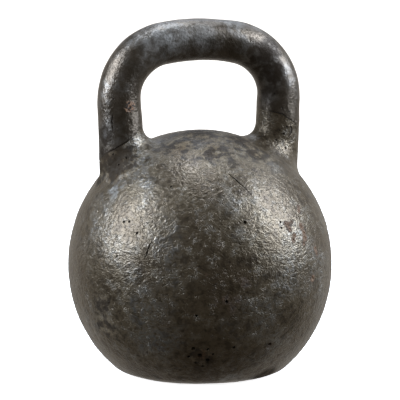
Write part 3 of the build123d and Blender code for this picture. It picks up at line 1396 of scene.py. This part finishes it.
@dataclass
class BaseFittings:
    """The driven plug, the lead caulked round it and the pocket that they close."""

    low: float
    plug_radius: float = 17.0 * MM
    plug_taper: float = 1.0 * MM
    plug_recess: float = 1.5 * MM
    plug_height: float = 12.0 * MM
    groove_radius: float = 21.0 * MM
    lead_recess: float = 0.8 * MM
    lead_height: float = 4.5 * MM
    chamber_radius: float = 28.0 * MM
    chamber_top: float = 73.5 * MM
    chamber_round: float = 8.0 * MM
    overrun: float = 5.0 * MM
    mouth_chamfer: float = 0.6 * MM
    dish: float = 0.5 * MM
    fit_gap: float = 0.02 * MM
    lead_bulge: float = 0.45 * MM
    chisel_dent: float = 0.5 * MM

    def seat(self, z: float) -> float:
        """Radius of the plug and of its seat at height z."""
        return self.plug_radius - self.plug_taper * (z - self.plug_recess) / self.plug_height

    def pocket(self) -> bpy.types.Object:
        """The whole void of the trimming pocket as a closed tool, open past the base.

        Returns:
            The tool, to be cut out of the ball.
        """
        seat_top = self.plug_recess + self.plug_height
        groove_top = self.lead_recess + self.lead_height
        wall, top, bend = self.chamber_radius, self.chamber_top, self.chamber_round
        mouth = self.groove_radius + self.mouth_chamfer
        profile = [
            (0, self.low - self.overrun), (mouth, self.low - self.overrun),
            (mouth, self.low - 0.1 * MM), (self.groove_radius, self.mouth_chamfer),
            (self.groove_radius, groove_top), (self.seat(groove_top), groove_top),
            (self.plug_radius - self.plug_taper, seat_top), (wall, seat_top),
        ]
        for i in range(7):
            a = math.pi / 2 * i / 6
            profile.append((wall - bend + bend * math.cos(a), top - bend + bend * math.sin(a)))
        profile.append((0, top))
        return mesh_object("pocket_tool", *lathe(profile, 96))

    def plug(self, material: bpy.types.Material) -> bpy.types.Object:
        """The iron plug, its outer face dished and marked by the hammer.

        Args:
            material: The plug's finish.

        Returns:
            The plug.
        """
        face, steps = self.plug_radius, 22
        profile = [(0.0, self.plug_recess - self.dish)]
        for i in range(1, steps):
            share = i / steps
            profile.append((face * share, self.plug_recess - self.dish * (1 - share ** 2)))
        profile += [
            (face - 0.35 * MM, self.plug_recess + 0.02 * MM),
            (face - 0.08 * MM, self.plug_recess + 0.3 * MM),
        ]
        inner = self.plug_recess + self.plug_height
        levels = np.linspace(self.plug_recess + 1.2 * MM, inner, 8)
        profile += [(self.seat(z) - self.fit_gap, z) for z in levels]
        profile.append((0.0, inner))
        obj = mesh_object("driven_plug", *lathe(profile, 120))
        relief = Relief("Driven face")
        relief.facets("Blow", 7 * MM, 0.35 * MM)
        relief.swell("Grain", 1.8 * MM, 0.06 * MM)
        relief.run(obj, material)
        return obj

    def ring(self, material: bpy.types.Material) -> bpy.types.Object:
        """The lead ring, dented all round by the caulking chisel.

        Args:
            material: The lead's finish.

        Returns:
            The ring.
        """
        inner, outer = self.plug_radius, self.groove_radius
        low, high = self.lead_recess, self.lead_recess + self.lead_height
        start, sections, steps, turns = inner + 0.05 * MM, [], 8, 240
        for i in range(steps + 1):
            share = i / steps
            bulge = self.lead_bulge * math.sin(math.pi * share)
            sections.append((start + (outer - start) * share, low - bulge))
        sections += [(outer, high - 0.3 * MM), (outer - 0.3 * MM, high), (self.seat(high), high)]
        points, faces = [], []
        for i in range(turns):
            turn = 2 * math.pi * i / turns
            # A chisel blow about every 6 mm, none quite like the last.
            blow = 0.5 + 0.5 * math.sin(21 * turn + 1.7 * math.sin(3 * turn) + 0.8 * math.sin(7 * turn))
            for k, (r, z) in enumerate(sections):
                dent = self.chisel_dent * blow if 0 < k < steps else 0.0
                points.append((r * math.cos(turn), r * math.sin(turn), z + dent))
        count = len(sections)
        for i in range(turns):
            here, then = i * count, (i + 1) % turns * count
            for k in range(count):
                nxt = (k + 1) % count
                faces.append((here + k, then + k, then + nxt, here + nxt))
        obj = mesh_object("lead_caulking", np.array(points), faces)
        relief = Relief("Caulked face")
        relief.swell("Smear", 2.6 * MM, 0.1 * MM)
        relief.run(obj, material)
        return obj


# ---- finishes ----------------------------------------------------------------------------


@dataclass
class Surface:
    """A material under construction: its tree, its one shader and Object coordinates."""

    name: str

    def __post_init__(self) -> None:
        """Opens the material."""
        self.material = bpy.data.materials.new(self.name)
        self.material.use_nodes = True
        self.tree = self.material.node_tree
        self.shader = next(n for n in self.tree.nodes if n.type == "BSDF_PRINCIPLED")
        self.place = add(self.tree, "ShaderNodeTexCoord").outputs["Object"]

    def swayed(self, size: float, amount: float, squash: float) -> bpy.types.Node:
        """Object coordinates bent by a broad noise and squashed upright, so that patterns run and sway.

        Args:
            size: How far apart the bends are.
            amount: How far the bends move the pattern.
            squash: How many times closer the pattern lies upright than level.

        Returns:
            The node whose vector to give a pattern.
        """
        bend = add(self.tree, NOISE, vector=self.place, scale=1 / size, detail=1.0).outputs["Color"]
        moved = add(self.tree, VECTOR, TIMES_PLUS, bend, (amount, amount, amount), self.place)
        return add(self.tree, VECTOR, TIMES, moved, (1.0, 1.0, squash))

    def finish(self, **inputs: Feed) -> bpy.types.Material:
        """Feeds the shader.

        Args:
            **inputs: The shader's inputs by name, in lower case with underscores.

        Returns:
            The finished material.
        """
        for key, value in inputs.items():
            socket = next(s for s in self.shader.inputs if s.name.lower().replace(" ", "_") == key)
            feed(self.tree, socket, value)
        return self.material


@dataclass(frozen=True)
class SandCastIron:
    """Grey iron cast in sand: a fine wrinkled skin, browned by age and semi-bright where worn.

    The moulding sand's own grain, a few tenths of a millimetre, would not show, so the grit is
    drawn as coarse as it needs to.
    """

    hollow: str = "#1d1915"
    deep: str = "#443a2c"
    body: str = "#625847"
    # Worn bright iron, also the colour of the pale patches, one of them a painted highlight.
    worn: str = "#8f9190"
    rust: str = "#6d5239"
    # Dark rust brown of the scabs, also the colour of the dark patches, painted shade among them.
    scab_and_shade: str = "#211b15"
    bloom: str = "#46392a"
    pore: str = "#0d0b09"
    cloud_size: float = 40.0 * MM
    bloom_size: float = 24.0 * MM
    patch_size: float = 7.0 * MM
    wrinkle_size: float = 4.0 * MM
    grit_size: float = 3.4 * MM
    sway: float = 14.0 * MM
    wrinkle_depth: float = 0.15 * MM
    grit_depth: float = 0.66 * MM
    seam_width: float = 1.2 * MM

    def material(self) -> bpy.types.Material:
        """Builds the node material from its patterns, its colours and its shine.

        Returns:
            The material, which reads the casting's attributes.
        """
        s = Surface("grey_iron_sand_cast_browned")
        t = s.tree
        relief, mark, shade, rusted, seam = (
            add(t, "ShaderNodeAttribute", {"attribute_name": name}).outputs["Fac"]
            for name in ("relief", "mark", "shade", "rust", "seam")
        )

        broad = add(t, NOISE, vector=s.place, scale=1 / self.cloud_size, detail=2.0)
        cloud = add(t, RANGE, SMOOTH, broad, 0.3, 0.7)
        patch = add(t, NOISE, vector=s.place, scale=1 / self.patch_size, detail=4.0, roughness=0.6)
        grit = add(
            t, NOISE, vector=s.swayed(40 * MM, self.sway, 1.3), scale=1 / self.grit_size, detail=2.5,
            roughness=0.65, distortion=0.5,
        )
        warped = add(
            t, NOISE, vector=s.swayed(30 * MM, self.sway, 1.6), scale=1 / self.wrinkle_size, detail=2.0,
            distortion=0.7,
        )
        # The wrinkles are the thin valleys where the warped noise crosses one level near its middle.
        valley = add(t, MATH, SIZE, add(t, MATH, MINUS, warped, 0.455))
        crease = add(t, RANGE, SMOOTH, valley, 0.0, 0.05)
        wrinkle = add(t, MATH, MOST, crease, add(t, RANGE, SMOOTH, patch, 0.62, 0.45))

        raised = add(t, RANGE, SMOOTH, relief, -0.05 * MM, 0.4 * MM)
        high = add(t, MATH, TIMES, raised, add(t, RANGE, SMOOTH, grit, 0.35, 0.65))
        low = add(t, RANGE, SMOOTH, relief, -0.25 * MM, -0.6 * MM)
        browned = add(t, MATH, TIMES_PLUS, cloud, 0.5, add(t, RANGE, SMOOTH, patch, 0.3, 0.7, 0.0, 0.5))
        colour = add(t, MIX, COLOURS, browned, self.deep, self.body)
        colour = add(t, MIX, COLOURS, add(t, MATH, TIMES, high, 0.5), colour, self.worn)

        # The shade attribute's pale patches, one a painted highlight, turn the colour towards the worn
        # colour, and its dark ones, many of them painted shade, towards the dark scab colour.
        toned = add(t, MATH, PLUS, shade, add(t, RANGE, SMOOTH, patch, 0.35, 0.65, -0.5, 0.5))
        colour = add(t, MIX, COLOURS, add(t, RANGE, SMOOTH, toned, 0.2, 1.3, 0.0, 0.6), colour, self.worn)
        colour = add(t, MIX, COLOURS, add(t, RANGE, SMOOTH, toned, -0.1, -1.0, 0.0, 0.85), colour, self.scab_and_shade)

        ragged = add(t, MATH, PLUS, rusted, add(t, RANGE, SMOOTH, patch, 0.3, 0.7, -0.35, 0.2))
        rust = add(t, RANGE, SMOOTH, ragged, 0.3, 0.65)
        fresh = add(t, RANGE, SMOOTH, rusted, 0.55, 0.95)
        flaked = add(t, MATH, TIMES, grit, add(t, MATH, TIMES_PLUS, fresh, 0.8, 0.35))
        flake = add(t, MIX, COLOURS, flaked, self.scab_and_shade, self.rust)
        colour = add(t, MIX, COLOURS, add(t, MATH, TIMES, rust, 0.85), colour, flake)
        drift = add(t, NOISE, vector=s.place, scale=1 / self.bloom_size, detail=3.0)
        drift = add(t, RANGE, SMOOTH, drift, 0.48, 0.68)
        bloom = add(t, MATH, TIMES, drift, add(t, RANGE, SMOOTH, patch, 0.42, 0.62))
        colour = add(t, MIX, COLOURS, add(t, MATH, TIMES, bloom, 0.45), colour, self.bloom)

        gritty = add(t, RANGE, SMOOTH, grit, 0.44, 0.3, 0.0, 0.5)
        fine = add(t, MATH, MOST, add(t, RANGE, SMOOTH, wrinkle, 0.0, 1.0, 0.5, 0.0), gritty)
        sunk = add(t, MATH, MOST, fine, add(t, MATH, TIMES, low, 0.7))
        colour = add(t, MIX, COLOURS, sunk, colour, self.hollow)
        line = add(t, RANGE, SMOOTH, seam, self.seam_width, 0.0, 0.0, 0.4)
        edge = add(t, MATH, TIMES, line, add(t, RANGE, SMOOTH, patch, 0.4, 0.6))
        colour = add(t, MIX, COLOURS, add(t, MATH, MOST, mark, edge), colour, self.pore)

        rough = add(t, MATH, TIMES_PLUS, patch, 0.12, 0.27)
        rough = add(t, MATH, PLUS, rough, add(t, RANGE, SMOOTH, shade, 0.0, -1.0, 0.0, 0.3))
        crusty = add(t, MATH, TIMES, add(t, MATH, MOST, rust, mark), 0.75)
        rough = add(t, MATH, MOST, rough, crusty)
        shade_darkening = add(t, RANGE, SMOOTH, shade, -0.1, -1.0)
        dull = add(t, MATH, TIMES, rust, add(t, MATH, TIMES_PLUS, fresh, 0.5, 0.5))
        dull = add(t, MATH, MOST, dull, shade_darkening)
        # The dark patches, painted shade where they are not stains, and open pores swallow the gleam that
        # even a dull surface has.
        gleam = add(t, MATH, MINUS, 0.5, add(t, MATH, TIMES, add(t, MATH, MOST, shade_darkening, mark), 0.45))
        bare = add(t, MATH, TIMES_PLUS, high, 0.2, 0.65)
        metal = add(t, MATH, MINUS, bare, add(t, MATH, TIMES, dull, 0.5))
        normal = add(t, BUMP, height=wrinkle, distance=self.wrinkle_depth, strength=1.0)
        normal = add(t, BUMP, height=grit, distance=self.grit_depth, strength=1.0, normal=normal)
        return s.finish(
            base_color=colour, roughness=rough, normal=normal, metallic=metal, specular_ior_level=gleam
        )


@dataclass(frozen=True)
class ForgedBar:
    """Wrought bar forged at red heat: black scale, worn smooth and half bright by hands, with a painted
    highlight along the grip's top and painted shade inside the right corner and on the left leg.
    """

    # Dark of the hollows, also the colour of the painted shade patches.
    hollow: str = "#1b1714"
    deep: str = "#3e362b"
    body: str = "#5a5146"
    # Worn bright iron, also the colour of the painted highlight along the grip's top.
    worn: str = "#8f9190"
    rust: str = "#7d634e"
    pore: str = "#0d0b09"
    cloud_size: float = 26.0 * MM
    patch_size: float = 6.0 * MM
    scale_size: float = 2.2 * MM
    patch_depth: float = 0.2 * MM
    scale_depth: float = 0.4 * MM
    seam_width: float = 1.2 * MM

    def material(self) -> bpy.types.Material:
        """Builds the node material from its patterns, its colours and its shine.

        Returns:
            The material, which reads the bar's attributes.
        """
        s = Surface("wrought_bar_forged_hand_worn")
        t = s.tree
        relief, marked, shaded, rusted, seam = (
            add(t, "ShaderNodeAttribute", {"attribute_name": name}).outputs["Fac"]
            for name in ("relief", "mark", "shade", "rust", "seam")
        )

        broad = add(t, NOISE, vector=s.place, scale=1 / self.cloud_size, detail=2.0)
        cloud = add(t, RANGE, SMOOTH, broad, 0.3, 0.7)
        patch = add(t, NOISE, vector=s.place, scale=1 / self.patch_size, detail=4.0, roughness=0.6)
        scale = add(
            t, NOISE, vector=s.place, scale=1 / self.scale_size, detail=4.0, roughness=0.6, distortion=0.4
        )

        raised = add(t, RANGE, SMOOTH, relief, -0.05 * MM, 0.4 * MM)
        high = add(t, MATH, TIMES, raised, add(t, RANGE, SMOOTH, patch, 0.35, 0.65))
        scaly = add(t, MATH, TIMES_PLUS, cloud, 0.6, add(t, RANGE, SMOOTH, patch, 0.3, 0.7, 0.0, 0.4))
        colour = add(t, MIX, COLOURS, scaly, self.deep, self.body)
        colour = add(t, MIX, COLOURS, add(t, MATH, TIMES, high, 0.3), colour, self.worn)
        low = add(t, RANGE, SMOOTH, relief, -0.2 * MM, -0.5 * MM, 0.0, 0.6)
        colour = add(t, MIX, COLOURS, low, colour, self.hollow)

        # Above 0 the shade attribute is hand wear and a painted highlight along the grip's top; below 0 it
        # is painted shade inside the right corner and on the left leg.
        shade = add(t, MATH, PLUS, shaded, add(t, RANGE, SMOOTH, patch, 0.35, 0.65, -0.25, 0.25))
        colour = add(t, MIX, COLOURS, add(t, RANGE, SMOOTH, shade, 0.0, 1.2, 0.0, 0.2), colour, self.worn)
        colour = add(t, MIX, COLOURS, add(t, RANGE, SMOOTH, shade, 0.0, -1.0, 0.0, 0.8), colour, self.hollow)

        ragged = add(t, MATH, PLUS, rusted, add(t, RANGE, SMOOTH, scale, 0.35, 0.65, -0.4, 0.1))
        rust = add(t, RANGE, SMOOTH, ragged, 0.12, 0.5)
        flake = add(t, MIX, COLOURS, add(t, RANGE, SMOOTH, scale, 0.46, 0.6), self.hollow, self.rust)
        colour = add(t, MIX, COLOURS, rust, colour, flake)
        line = add(t, RANGE, SMOOTH, seam, self.seam_width, 0.0, 0.0, 0.4)
        edge = add(t, MATH, TIMES, line, add(t, RANGE, SMOOTH, patch, 0.4, 0.6))
        mark = add(t, MATH, MOST, marked, edge)
        colour = add(t, MIX, COLOURS, mark, colour, self.pore)

        rough = add(t, MATH, TIMES_PLUS, patch, 0.2, 0.2)
        rough = add(t, MATH, PLUS, rough, add(t, MATH, TIMES, add(t, MATH, SIZE, shade), 0.12))
        crusty = add(t, MATH, TIMES, add(t, MATH, MOST, mark, rust), 0.75)
        rough = add(t, MATH, MOST, rough, crusty)
        # The painted shade also dulls the metal and swallows its gleam.
        shade_darkening = add(t, RANGE, SMOOTH, shade, 0.0, -1.0)
        metal = add(t, MATH, TIMES_PLUS, add(t, MATH, MOST, shade_darkening, rust), -0.4, 0.76)
        gleam = add(t, MATH, MINUS, 0.5, add(t, MATH, TIMES, add(t, MATH, MOST, shade_darkening, mark), 0.45))
        normal = add(t, BUMP, height=scale, distance=self.scale_depth, strength=1.0)
        normal = add(t, BUMP, height=patch, distance=self.patch_depth, strength=1.0, normal=normal)
        return s.finish(
            base_color=colour, roughness=rough, normal=normal, metallic=metal, specular_ior_level=gleam
        )


@dataclass(frozen=True)
class DrivenIron:
    """An iron plug driven home with a hammer: dark dented metal, browned by a little rust."""

    body: str = "#4b403a"
    rust: str = "#54412f"
    mottle_size: float = 3.0 * MM
    grain_size: float = 0.9 * MM
    grain_depth: float = 0.08 * MM

    def material(self) -> bpy.types.Material:
        """Builds the node material from a mottle and a fine grain.

        Returns:
            The material.
        """
        s = Surface("iron_plug_hammered_rusted")
        t = s.tree
        mottle = add(t, NOISE, vector=s.place, scale=1 / self.mottle_size, detail=4.0)
        colour = add(t, MIX, COLOURS, add(t, RANGE, SMOOTH, mottle, 0.4, 0.65), self.body, self.rust)
        rough = add(t, MATH, TIMES_PLUS, mottle, 0.4, 0.3)
        grain = add(t, NOISE, vector=s.place, scale=1 / self.grain_size, detail=2.0)
        normal = add(t, BUMP, height=grain, distance=self.grain_depth, strength=1.0)
        return s.finish(base_color=colour, roughness=rough, normal=normal, metallic=0.8)


@dataclass(frozen=True)
class DullLead:
    """Lead gone dull grey in air, smeared bright where the chisel struck."""

    name: str
    body: str = "#5c5f63"
    pale: str = "#8d9093"
    mottle_size: float = 2.5 * MM
    grain_size: float = 0.8 * MM
    grain_depth: float = 0.05 * MM

    def material(self) -> bpy.types.Material:
        """Builds the node material from a mottle and a fine grain.

        Returns:
            The material.
        """
        s = Surface(self.name)
        t = s.tree
        mottle = add(t, NOISE, vector=s.place, scale=1 / self.mottle_size, detail=3.0)
        colour = add(t, MIX, COLOURS, add(t, RANGE, SMOOTH, mottle, 0.4, 0.7), self.body, self.pale)
        rough = add(t, MATH, TIMES_PLUS, mottle, 0.3, 0.4)
        grain = add(t, NOISE, vector=s.place, scale=1 / self.grain_size, detail=2.0)
        normal = add(t, BUMP, height=grain, distance=self.grain_depth, strength=1.0)
        return s.finish(base_color=colour, roughness=rough, normal=normal, metallic=0.85)


def dress(obj: bpy.types.Object, material: bpy.types.Material) -> None:
    """Gives a piece its one material and smooth shading with creases.

    Args:
        obj: The finished piece.
        material: Its one finish.
    """
    obj.data.materials.clear()
    obj.data.materials.append(material)
    obj.data.polygons.foreach_set("material_index", [0] * len(obj.data.polygons))
    obj.data.polygons.foreach_set("use_smooth", [True] * len(obj.data.polygons))
    obj.data.set_sharp_from_angle(angle=math.radians(50))


# ---- the studio --------------------------------------------------------------------------


@dataclass(frozen=True)
class Softbox:
    """A rectangular studio light that faces the object."""

    name: str
    azimuth: float
    elevation: float
    width: float
    height: float
    power: float
    distance: float = 1.3
    colour: str = "#dce8fa"


@dataclass
class Studio:
    """Pale floor, white surroundings, soft lights and the camera."""

    target: tuple[float, float, float] = (0.0, 0.0, 0.1324)
    distance: float = 1.428
    azimuth: float = -19.66
    elevation: float = 7.0
    lens: float = 166.5
    wall_glow: float = 0.58
    front_glow: float = 0.032
    fill: float = 0.6
    lights: tuple[Softbox, ...] = (
        Softbox("softbox_left", -92.0, 27.0, 0.62, 0.9, 36.0),
        Softbox("softbox_right", 65.0, 30.0, 0.64, 1.0, 40.0),
        Softbox("softbox_top", 160.0, 83.0, 0.4, 0.4, 14.0),
        Softbox("softbox_behind", 138.0, 50.0, 1.6, 0.6, 8.0),
    )

    def camera(self) -> None:
        """Creates the camera and makes it the scene's."""
        data = bpy.data.cameras.new("camera")
        data.lens = self.lens
        data.sensor_width = 36.0
        data.clip_end = 50.0
        obj = bpy.data.objects.new("camera", data)
        back = Vector(heading(self.azimuth, self.elevation))
        obj.location = Vector(self.target) + back * self.distance
        obj.rotation_euler = back.to_track_quat("Z", "Y").to_euler()
        bpy.context.scene.collection.objects.link(obj)
        bpy.context.scene.camera = obj

    def softboxes(self) -> None:
        """Hangs the area lights round the object."""
        for box in self.lights:
            data = bpy.data.lights.new(box.name, "AREA")
            data.shape = "RECTANGLE"
            data.size, data.size_y = box.width, box.height
            data.energy = box.power
            data.color = linear(box.colour)[:3]
            obj = bpy.data.objects.new(box.name, data)
            out = Vector(heading(box.azimuth, box.elevation))
            obj.location = Vector(self.target) + out * box.distance
            obj.rotation_euler = out.to_track_quat("Z", "Y").to_euler()
            bpy.context.scene.collection.objects.link(obj)

    def floor(self) -> None:
        """A wide pale floor, lit evenly white right to the horizon."""
        half = 60.0
        corners = np.array([(-half, -half, 0), (half, -half, 0), (half, half, 0), (-half, half, 0)])
        obj = mesh_object("floor", corners - np.array([0, 0, 0.0002]), [(0, 1, 2, 3)])
        s = Surface("studio_floor_matt_white")
        glow = {"emission_color": "#ffffff", "emission_strength": 0.9}
        obj.data.materials.append(s.finish(base_color="#f4f4f3", roughness=0.9, **glow))
        obj.visible_glossy = False
        obj.visible_diffuse = False

    def world(self) -> None:
        """White surroundings: seen pure white, warm as fill light, and mirrored as one pale wall."""
        world = bpy.data.worlds.new("studio")
        bpy.context.scene.world = world
        world.use_nodes = True
        tree = world.node_tree
        tree.nodes.clear()
        way = add(tree, "ShaderNodeTexCoord").outputs["Generated"]
        wall = tuple(heading(self.azimuth + 180.0, 0.0))
        facing = add(tree, VECTOR, {"operation": "DOT_PRODUCT"}, way, wall)
        bright = add(tree, RANGE, SMOOTH, facing, 0.05, 0.7, self.front_glow, self.wall_glow)
        height = add(tree, "ShaderNodeSeparateXYZ", vector=way).outputs["Z"]
        ceiling = add(tree, RANGE, SMOOTH, height, 0.1, 0.65, 1.0, 0.15)
        glow = add(tree, MATH, TIMES, bright, ceiling)
        mirrored = add(tree, "ShaderNodeBackground", color="#f8f2ea", strength=glow)
        fill = add(tree, "ShaderNodeBackground", color="#fff8ee", strength=self.fill)
        seen = add(tree, "ShaderNodeBackground", color="#ffffff", strength=1.0)
        path = add(tree, "ShaderNodeLightPath").outputs
        lit = add(tree, "ShaderNodeMixShader", None, path["Is Glossy Ray"], fill, mirrored)
        both = add(tree, "ShaderNodeMixShader", None, path["Is Camera Ray"], lit, seen)
        add(tree, "ShaderNodeOutputWorld", surface=both)

    def set_up(self) -> None:
        """Builds the whole studio."""
        bpy.context.scene.view_settings.view_transform = "Standard"
        self.camera()
        self.softboxes()
        self.floor()
        self.world()


# ---- the whole ---------------------------------------------------------------------------


def place(obj: bpy.types.Object, slot: Slot, *nodes: str) -> None:
    """Lets a finished piece stand for CAD nodes on the one body.

    Args:
        obj: The finished piece.
        slot: The record's material slot that it stands for; not used.
        *nodes: Names of the CAD nodes that it replaces.
    """
    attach(obj, "root")
    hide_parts(*nodes)
    LOG.info("%s: %d faces", obj.name, len(obj.data.polygons))


def main() -> None:
    """Builds the kettlebell and its studio, piece by piece."""
    logging.basicConfig(level=logging.INFO, format="%(message)s")
    Studio().set_up()
    build = Build(
        ball_radius=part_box("ball_casting")[1].x,
        handle_top=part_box("handle_bar")[1].z,
    )
    seams = (
        Seam(
            Side.LEFT, 177.7 * MM, 0.75, 0.27, 0.4, open_from=-54.0, open_to=24.0,
            bend=3.6 * MM, bend_turn=math.radians(-30.0),
        ),
        Seam(
            Side.RIGHT, 196.3 * MM, 0.37, 0.09, 2.3, open_from=-72.0, open_to=27.0,
            bend=-3.6 * MM, bend_turn=math.radians(-52.0),
        ),
    )
    fittings = BaseFittings(low=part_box("ball_casting")[0].z)
    forging = ForgedHandle(build, seams)
    bar_finish, cast_finish = ForgedBar().material(), SandCastIron().material()
    casting = BallCasting(build, seams)
    handle = forging.make(bar_finish, casting)
    pocket = fittings.pocket()
    ball = casting.make(handle, pocket, cast_finish)
    bpy.data.objects.remove(pocket)
    forging.mark(handle)
    dress(handle, bar_finish)
    dress(ball, cast_finish)
    place(handle, Slot.HANDLE, "handle_bar")
    place(ball, Slot.BALL, "ball_casting")
    plug_finish, ring_finish = DrivenIron().material(), DullLead("lead_caulked_dull").material()
    plug, ring = fittings.plug(plug_finish), fittings.ring(ring_finish)
    dress(plug, plug_finish)
    dress(ring, ring_finish)
    place(plug, Slot.PLUG, "base_plug")
    place(ring, Slot.LEAD, "plug_caulking")
    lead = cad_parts["trim_lead"]
    lead.data.materials.clear()
    lead.data.materials.append(DullLead("lead_poured_dull").material())


if __name__ == "__main__":
    main()
